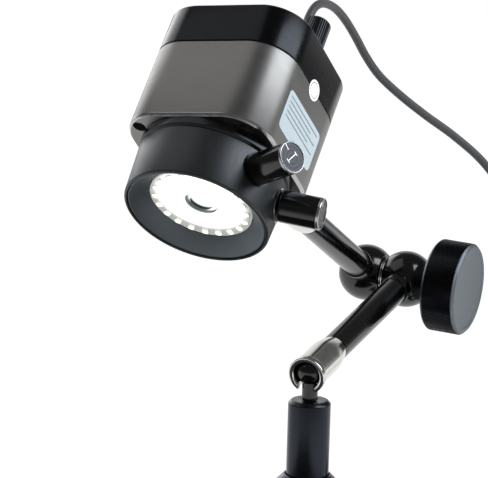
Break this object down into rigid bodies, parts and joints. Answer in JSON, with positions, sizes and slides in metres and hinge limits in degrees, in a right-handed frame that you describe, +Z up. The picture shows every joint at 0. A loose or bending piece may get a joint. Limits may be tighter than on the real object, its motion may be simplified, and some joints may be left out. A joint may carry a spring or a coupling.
{
  "type": "digital microscope",
  "caption": "Square metal digital microscope head with a lit round barrel, on a ball-jointed two-rod arm with a knurled clamp knob, a post and a flat base plate, with its USB lead.",
  "frame": {"origin": "on the table, under the middle of the base plate", "axes": "+Z up, +Y away from the user, towards the post, +X to the user's right"},
  "size_m": [0.145, 0.3196, 0.2135],
  "materials": {
    "mat_rubber": "matte",
    "plate_black": "satin",
    "post_black": "satin",
    "steel": "polished",
    "cup_chrome": "mirror",
    "arm_gloss_black": "gloss",
    "knob_aluminium": "satin, knurled edge",
    "head_gunmetal": "bead-blasted anodised",
    "head_black": "satin",
    "hood_grey": "satin",
    "knob_gloss_black": "gloss",
    "black_plastic": "matte",
    "board_green": "solder mask",
    "led_white": "lit",
    "indicator_white": "translucent",
    "lens_glass": "coated",
    "cord_black": "matte"
  },
  "bodies": {
    "stand": {"base_mat": "mat_rubber", "base_plate": "plate_black", "post_foot": "post_black", "post": "post_black", "post_screw": "steel", "cord_run": "cord_black", "cord_coil": "cord_black", "cord_tie_1": "black_plastic", "cord_tie_2": "black_plastic", "usb_a_plug": "black_plastic"},
    "ball_stud": {"lower_ball_stud": "post_black"},
    "lower_arm": {"lower_cup": "cup_chrome", "lower_rod": "arm_gloss_black", "lower_push_rod": "steel", "front_hub": "arm_gloss_black", "hub_bolt": "steel", "washer_front": "steel", "washer_rear": "steel"},
    "clamp": {"clamp_knob": "knob_aluminium"},
    "upper_arm": {"rear_hub": "arm_gloss_black", "upper_rod": "arm_gloss_black", "upper_push_rod": "steel", "upper_cup": "cup_chrome"},
    "head_stud": {"head_ball_stud": "post_black"},
    "head": {"head_body": "head_gunmetal", "top_cap": "head_black", "top_panel": "head_black", "body_screw_1": "steel", "body_screw_2": "steel", "body_screw_3": "steel", "body_screw_4": "steel", "main_board": "board_green", "sensor_board": "board_green", "usb_c_socket": "steel", "hdmi_socket": "steel", "round_jack": "black_plastic", "indicator_window": "indicator_white", "mount_ring": "head_black", "barrel": "head_black", "light_hood": "hood_grey", "led_board": "led_white", "guide_tube": "black_plastic", "usb_c_plug": "black_plastic"},
    "focus_drive": {"focus_knob": "knob_gloss_black", "focus_shaft": "steel"},
    "focus_lens": {"focus_carriage": "black_plastic", "objective_cell": "head_black", "front_lens": "lens_glass"},
    "zoom_drive": {"zoom_knob": "knob_gloss_black", "zoom_shaft": "steel"},
    "zoom_lens": {"zoom_carriage": "black_plastic", "rear_lens": "lens_glass"},
    "dial": {"brightness_knob": "head_black"},
    "switch_key": {"slide_switch": "black_plastic"},
    "key_1": {"button_1": "black_plastic"},
    "key_2": {"button_2": "black_plastic"},
    "key_3": {"button_3": "black_plastic"},
    "key_4": {"button_4": "black_plastic"},
    "key_5": {"button_5": "black_plastic"}
  },
  "joints": [
    {"name": "arm_swivel", "type": "hinge", "parent": "stand", "child": "ball_stud", "pos_m": [0, 0.075, 0.0731], "axis": [0, 0, 1], "range_deg": [-170, 170], "deforming": ["cord_run"]},
    {"name": "lower_tilt", "type": "hinge", "parent": "ball_stud", "child": "lower_arm", "pos_m": [0, 0.075, 0.0731], "axis": [0.9999, -0.0105, 0], "range_deg": [-15, 30]},
    {"name": "clamp_turn", "type": "hinge", "parent": "lower_arm", "child": "clamp", "pos_m": [0.00098, 0.1691, 0.09105], "axis": [0.9987, -0.0007, -0.0514], "range_deg": [0, 270]},
    {"name": "elbow", "type": "hinge", "parent": "lower_arm", "child": "upper_arm", "pos_m": [-0.01609, 0.16911, 0.09193], "axis": [-0.9987, 0.0007, 0.0514], "range_deg": [-15, 140]},
    {"name": "head_tilt", "type": "hinge", "parent": "upper_arm", "child": "head_stud", "pos_m": [-0.01397, 0.08314, 0.13415], "axis": [0.9987, -0.0007, -0.0514], "range_deg": [-5, 45]},
    {"name": "head_roll", "type": "hinge", "parent": "head_stud", "child": "head", "pos_m": [-0.01397, 0.08314, 0.13415], "axis": [0.1225, 0.6971, -0.7065], "range_deg": [-170, 170]},
    {"name": "focus_turn", "type": "hinge", "parent": "head", "child": "focus_drive", "pos_m": [0.00572, 0.01178, 0.1608], "axis": [0.8612, -0.3468, 0.3715], "range_deg": [-55, 55]},
    {"name": "focus_slide", "type": "slide", "parent": "head", "child": "focus_lens", "axis": [-0.0152, 0.713, 0.701], "range_m": [-0.00192, 0.00192]},
    {"name": "zoom_turn", "type": "hinge", "parent": "head", "child": "zoom_drive", "pos_m": [0.00946, 0.02477, 0.145], "axis": [0.9851, 0.1308, -0.1117], "range_deg": [-55, 55]},
    {"name": "zoom_slide", "type": "slide", "parent": "head", "child": "zoom_lens", "axis": [-0.0152, 0.713, 0.701], "range_m": [-0.00192, 0.00192]},
    {"name": "dial_turn", "type": "hinge", "parent": "head", "child": "dial", "pos_m": [-0.00171, 0.06542, 0.19339], "axis": [-0.0152, 0.713, 0.701], "range_deg": [-150, 150]},
    {"name": "switch_slide", "type": "slide", "parent": "head", "child": "switch_key", "axis": [0.9924, -0.0751, 0.0979], "range_m": [-0.0042, 0]},
    {"name": "key_1_press", "type": "slide", "parent": "head", "child": "key_1", "axis": [0.0152, -0.713, -0.701], "range_m": [0, 0.0006], "stiffness_N_per_m": 400},
    {"name": "key_2_press", "type": "slide", "parent": "head", "child": "key_2", "axis": [0.0152, -0.713, -0.701], "range_m": [0, 0.0006], "stiffness_N_per_m": 400},
    {"name": "key_3_press", "type": "slide", "parent": "head", "child": "key_3", "axis": [0.0152, -0.713, -0.701], "range_m": [0, 0.0006], "stiffness_N_per_m": 400},
    {"name": "key_4_press", "type": "slide", "parent": "head", "child": "key_4", "axis": [0.0152, -0.713, -0.701], "range_m": [0, 0.0006], "stiffness_N_per_m": 400},
    {"name": "key_5_press", "type": "slide", "parent": "head", "child": "key_5", "axis": [0.0152, -0.713, -0.701], "range_m": [0, 0.0006], "stiffness_N_per_m": 400}
  ],
  "couplings": [
    {"joint": "focus_turn", "follows": "focus_slide", "rad_per_m": 500},
    {"joint": "zoom_turn", "follows": "zoom_slide", "rad_per_m": 500}
  ]
}
